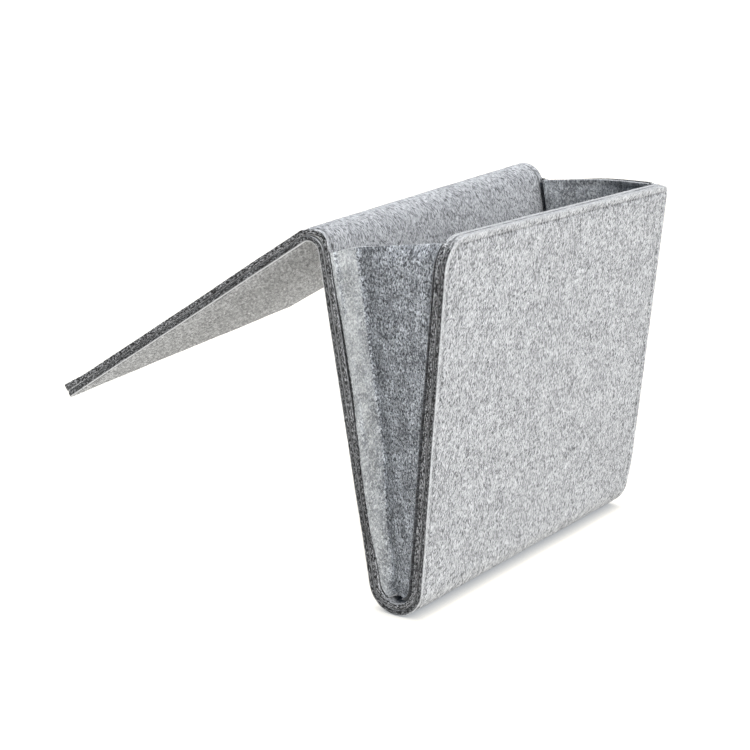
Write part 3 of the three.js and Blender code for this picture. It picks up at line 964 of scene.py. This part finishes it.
def gussetPoint(where, level, side):
    points, backRow, frontRow, span = gussetSection(level, side)
    section = smoothCurve(points, where * sectionSpans)
    share = section[:, 1] / span
    deep = np.full_like(level, stripDepth)
    backPoint = stripPoint(section[:, 0], backRow, side["sign"], deep)
    frontPoint = stripPoint(section[:, 0], frontRow, side["sign"], deep)
    place = backPoint + share[:, None] * (frontPoint - backPoint)
    middle = np.sin(math.pi * np.clip(share, 0, 1))
    place[:, 2] += side["crown"] * middle * np.clip(level, 0, 1) ** gusset["crownFade"]
    place[:, 2] += gusset["footLift"] * middle * np.exp(-(level / gusset["footFade"]) ** 2)
    return place


def fromFlange(where):
    # counts the section's points from the nearer flange's edge
    return np.minimum(where, 1 - where) * sectionSpans


def flangeThickness(point):
    share = np.clip(point / gusset["wallPoint"], 0, 1)
    return gusset["edgeShare"] + (1 - gusset["edgeShare"]) * easeInOut(share)


def gussetThickness(where):
    return flangeThickness(fromFlange(where))


def gussetSpread(where, level, side):
    # distance along the section, so that the felt's grain isn't stretched
    points = gussetSection(level, side)[0]
    count = gusset["columns"]
    stops = np.linspace(0, sectionSpans, count + 1)
    line = np.stack([smoothCurve(points, np.full_like(level, stop)) for stop in stops], axis=1)
    steps = np.linalg.norm(np.diff(line, axis=1), axis=2)
    reach = np.concatenate([np.zeros((len(level), 1)), np.cumsum(steps, axis=1)], axis=1)
    index = np.clip(np.floor(where * count).astype(int), 0, count - 1)
    each = np.arange(len(level))
    return reach[each, index] + (where * count - index) * steps[each, index] - reach[:, -1] / 2


def hangGusset(name, side):
    wide = gusset["flatWidth"]
    tall = gusset["flatLength"]
    half = gusset["thickness"] / 2
    flatColumns = np.linspace(0, wide, gusset["columns"] + 1)
    flatRows = evenLines(0, tall, gusset["step"])
    bm = cutBlank(flatColumns, flatRows, -half, half)
    flat = placesOf(bm)
    where = flat[:, 0] / wide
    level = flat[:, 1] / tall
    depth = flat[:, 2]
    inset = np.minimum.reduce([flat[:, 0], wide - flat[:, 0], flat[:, 1], tall - flat[:, 1]])
    cut = np.clip(1 - inset / felt["arris"], 0, 1)
    nudge = gusset["nudge"]
    place = gussetPoint(where, level, side)
    acrossStep = gussetPoint(np.minimum(where + nudge, 1), level, side)
    acrossStep -= gussetPoint(np.maximum(where - nudge, 0), level, side)
    upStep = gussetPoint(where, np.minimum(level + nudge, 1), side)
    upStep -= gussetPoint(where, np.maximum(level - nudge, 0), side)
    facing = np.cross(acrossStep, upStep)
    facing /= np.linalg.norm(facing, axis=1)[:, None]
    # the felt is longer on the outside of a bend than on its inside
    turned = np.arctan2(-acrossStep[:, 1], -side["sign"] * acrossStep[:, 0])
    turned = np.mod(turned + math.pi / 2, 2 * math.pi) - math.pi / 2
    off = depth * gussetThickness(where)
    spread = gussetSpread(where, level, side) + side["sign"] * off * turned
    grainPlace = np.stack([spread, flat[:, 1], depth], axis=-1)
    wavePlace = np.stack([spread, flat[:, 1], np.zeros_like(depth)], axis=-1)
    pebble = felt["pebble"] * roughness(grainPlace, felt["pebbleSize"], gusset["pebbleSeed"])
    wave = gusset["wave"] * roughness(wavePlace, gusset["waveSize"], side["sign"] * gusset["waveSeed"])
    wave *= np.clip(inset / gusset["waveEase"], 0, 1)
    place += facing * (off + wave + pebble * np.sign(depth))[:, None]
    putPlaces(bm, place)
    bmesh.ops.recalc_face_normals(bm, faces=bm.faces[:])
    bm.normal_update()
    outside = sideShare(bm)
    inSeam = (fromFlange(where) < gusset["seamReach"]) & (depth * side["sign"] > 0)
    fray(bm, cut)
    values = {
        "place": grainPlace,
        "cut": cut,
        "side": side["fleck"] * outside,
        # painted shade where the gusset faces sideways
        "paintedShading": 1 + (byLevel(level, side["paintedShading"]) - 1) * outside,
        "off": np.full_like(cut, stitching["unsewn"]),
        # painted shade in the narrow gaps of the seams
        "seamGapShade": np.where(inSeam, np.where(where < 0.5, *side["seams"]), 0.0),
    }
    for unused in ("run", "prickShade", "drawn", "edgeHighlight", "clump"):
        values[unused] = np.zeros_like(cut)
    return saveObject(bm, name, values, feltMaterials["shadedGussetFelt"])


for sideName, side in gussetSides.items():
    piece = hangGusset(sideName + "_felt_gusset", side)
    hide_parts(sideName + "_gusset")
    bendBottom(piece)

# Stitches: short bent lengths of thread whose ends go down into the felt
rng = random.Random(stitching["seed"])


def makeStitch(bm):
    bmesh.ops.create_cone(
        bm, cap_ends=True, cap_tris=False, segments=stitching["sides"], radius1=stitching["threadRadius"],
        radius2=stitching["threadRadius"], depth=stitching["length"])
    half = stitching["length"] / 2
    long = [edge for edge in bm.edges if edge.calc_length() > half]
    bmesh.ops.subdivide_edges(bm, edges=long, cuts=stitching["cuts"], use_grid_fill=True)
    for vert in bm.verts:
        share = vert.co.z / half
        vert.co.y += stitching["lift"] - stitching["dip"] * share ** stitching["dipRound"]
    return bm.verts[:] + bm.edges[:] + bm.faces[:]


# Each place is (across, along, heading in the flat strip) on a face at the given depth.
def sewStitches(name, places, faceDepth, outward):
    bm = bmesh.new()
    template = makeStitch(bm)
    templateVerts = [item for item in template if isinstance(item, bmesh.types.BMVert)]
    local = placesOf(bm)
    grain = []
    for across, along, heading in places:
        slant = heading + math.radians(stitching["slant"] + rng.uniform(-1, 1) * stitching["slantSpread"])
        ahead = Vector((math.cos(slant), math.sin(slant), 0))
        beside = Vector((-math.sin(slant), math.cos(slant), 0))
        sunk = rng.uniform(0, stitching["sinkSpread"])
        matrix = Matrix((
            (beside.x, 0, ahead.x, across),
            (beside.y, 0, ahead.y, along),
            (0, outward, 0, faceDepth - outward * sunk),
            (0, 0, 0, 1)))
        copied = bmesh.ops.duplicate(bm, geom=template)["geom"]
        verts = [item for item in copied if isinstance(item, bmesh.types.BMVert)]
        bmesh.ops.transform(bm, matrix=matrix, verts=verts)
        grain.append(local)
    bmesh.ops.delete(bm, geom=templateVerts, context="VERTS")
    flat = placesOf(bm)
    flat[:, 2] += feltWave(flat[:, 0], flat[:, 1])
    putPlaces(bm, foldStrip(flat))
    bmesh.ops.recalc_face_normals(bm, faces=bm.faces[:])
    piece = saveObject(bm, name, {"place": np.concatenate(grain)}, threadMaterial)
    return piece


def rowPlaces(end, keep):
    settings = ends[end]
    inward = settings["inward"]
    places = []
    for sign, corner in zip((-1, 1), settings["corners"]):
        run = stitching["pitch"] / 2
        length = rowRun(halfWidth, abs(joinRow - settings["endRow"]), corner)
        while run < length - stitching["pitch"]:
            across, fromEnd, heading = rowPoint(run, corner)
            along = settings["endRow"] + inward * fromEnd
            if keep(across, along, corner):
                turned = inward * heading
                places.append((sign * across, along, turned if sign > 0 else math.pi - turned))
            run += stitching["pitch"]
    return places


pressed = stitching["groove"] + stitching["marginSink"]
underStitches = sewStitches("flap_under_stitches", rowPlaces("flap", everywhere), pressed, -1)
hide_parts("flap_under_thread", "top_fold_under_left_thread", "top_fold_under_right_thread")
bendTop(underStitches, *topBends["outer"])

upperStitches = sewStitches("flap_upper_stitches", rowPlaces("flap", onFlap), stripDepth - pressed, 1)
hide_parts("flap_upper_thread", "top_fold_upper_left_thread", "top_fold_upper_right_thread")
bendTop(upperStitches, *topBends["inner"])

frontStitches = sewStitches("front_stitches", rowPlaces("front", everywhere), pressed, -1)
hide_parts("front_outer_thread", "bottom_fold_left_thread", "bottom_fold_right_thread",
            "back_left_thread", "back_right_thread")
bendBottom(frontStitches)

rimStitches = sewStitches("rim_stitches", rowPlaces("front", onRim), stripDepth - pressed, 1)
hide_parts("front_rim_thread")
bendBottom(rimStitches)

# The gussets' seams start above the bottom fold, and end below the top fold and the rim
gussetSeams = {
    "aboveFold": 0.003,
    "belowHead": 0.040,
    "belowRim": 0.018,
    "faceRise": 0.0024,  # from the flange's seat to its face
}
seamRows = (
    (backFoot + gussetSeams["aboveFold"], backHead - gussetSeams["belowHead"]),
    (gussetSeams["belowRim"], frontFoot - gussetSeams["aboveFold"]))
flangeFace = stripDepth + gusset["seat"] + gussetSeams["faceRise"]


def seamPlaces(across):
    places = []
    for low, high in seamRows:
        count = int((high - low) / stitching["pitch"])
        for number in range(count):
            places.append((across, low + (number + 0.5) * stitching["pitch"], math.pi / 2))
    return places


for sideName, side in gussetSides.items():
    across = side["sign"] * (halfWidth - stitching["margin"])
    piece = sewStitches(sideName + "_gusset_stitches", seamPlaces(across), flangeFace, 1)
    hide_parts(sideName + "_gusset_back_thread", sideName + "_gusset_front_thread")
    bendBottom(piece)

# Floor, light and camera
studio = {
    "floorSize": 40.0,
    "floorParts": 20,
    "floorLevel": -0.1432,
    "floorColour": (0.16, 0.16, 0.16, 1),
    "floorRoughness": 0.9,
    "floorSpecular": 0.0,
    "floorGlow": 1.10,  # a lit white table
    "floorTint": (1.0, 0.968, 0.895, 1),
    "contactShadowReach": 0.008,  # painted contact shadow: the table's glow is darker where the felt stands on it
    "contactShadowTint": (0.20, 0.22, 0.25, 1),
    "contactSamples": 6,
    "world": 0.17,
    "worldTint": (0.74, 0.95, 1.28, 1),
    "keyPlace": (-1.27, -3.3, 1.65),
    "keySize": 2.0,
    "keyPower": 158.0,
    "fillPlace": (2.2, -3.2, 2.2),
    "fillSize": 2.2,
    "fillPower": 60.0,
    "topPlace": (0.3, 2.5, 2.9),
    "topSize": 3.0,
    "topPower": 250.0,
    "aim": (0.0, -0.08, -0.03),
}
bm = bmesh.new()
parts = studio["floorParts"]
bmesh.ops.create_grid(bm, x_segments=parts, y_segments=parts, size=studio["floorSize"] / 2)
bmesh.ops.translate(bm, vec=(0, 0, studio["floorLevel"]), verts=bm.verts[:])
floorMesh = bpy.data.meshes.new("studio_floor")
bm.to_mesh(floorMesh)
bm.free()
floorObject = bpy.data.objects.new("studio_floor", floorMesh)
scene.collection.objects.link(floorObject)
floorMaterial = bpy.data.materials.new("paleFloor")
floorMaterial.use_nodes = True
floorTree = floorMaterial.node_tree
floorShader = floorTree.nodes["Principled BSDF"]
floorShader.inputs["Base Color"].default_value = studio["floorColour"]
floorShader.inputs["Roughness"].default_value = studio["floorRoughness"]
floorShader.inputs["Specular IOR Level"].default_value = studio["floorSpecular"]
floorShader.inputs["Emission Strength"].default_value = studio["floorGlow"]
# painted contact shadow in the floor's glow
contactShadow = addNode(
    floorTree, "ShaderNodeAmbientOcclusion", {"Distance": studio["contactShadowReach"]},
    samples=studio["contactSamples"])
glowWithContactShadow = mixColour(floorTree, contactShadow.outputs["AO"], studio["contactShadowTint"], studio["floorTint"])
floorTree.links.new(glowWithContactShadow, floorShader.inputs["Emission Color"])
floorMesh.materials.append(floorMaterial)

world = bpy.data.worlds.new("studioWorld")
scene.world = world
world.use_nodes = True
background = world.node_tree.nodes["Background"]
background.inputs["Color"].default_value = studio["worldTint"]
background.inputs["Strength"].default_value = studio["world"]


def addSoftbox(name):
    data = bpy.data.lights.new(name, "AREA")
    data.size = studio[name + "Size"]
    data.energy = studio[name + "Power"]
    light = bpy.data.objects.new(name, data)
    light.location = studio[name + "Place"]
    light.rotation_euler = (Vector(studio["aim"]) - light.location).to_track_quat("-Z", "Y").to_euler()
    scene.collection.objects.link(light)


addSoftbox("key")
addSoftbox("fill")
addSoftbox("top")
scene.view_settings.view_transform = "Standard"

view = {
    "place": (-1.07309, -0.80323, 0.33470),
    "azimuth": -55.11,
    "elevation": 16.41,
    "lens": 110.4,
    "sensor": 36.0,
}
azimuth = math.radians(view["azimuth"])
elevation = math.radians(view["elevation"])
ahead = math.cos(elevation)
sight = Vector((-math.sin(azimuth) * ahead, math.cos(azimuth) * ahead, -math.sin(elevation)))
cameraData = bpy.data.cameras.new("camera")
cameraData.lens = view["lens"]
cameraData.sensor_width = view["sensor"]
camera = bpy.data.objects.new("camera", cameraData)
camera.location = view["place"]
camera.rotation_euler = sight.to_track_quat("-Z", "Y").to_euler()
scene.collection.objects.link(camera)
scene.camera = camera
print("studio set")
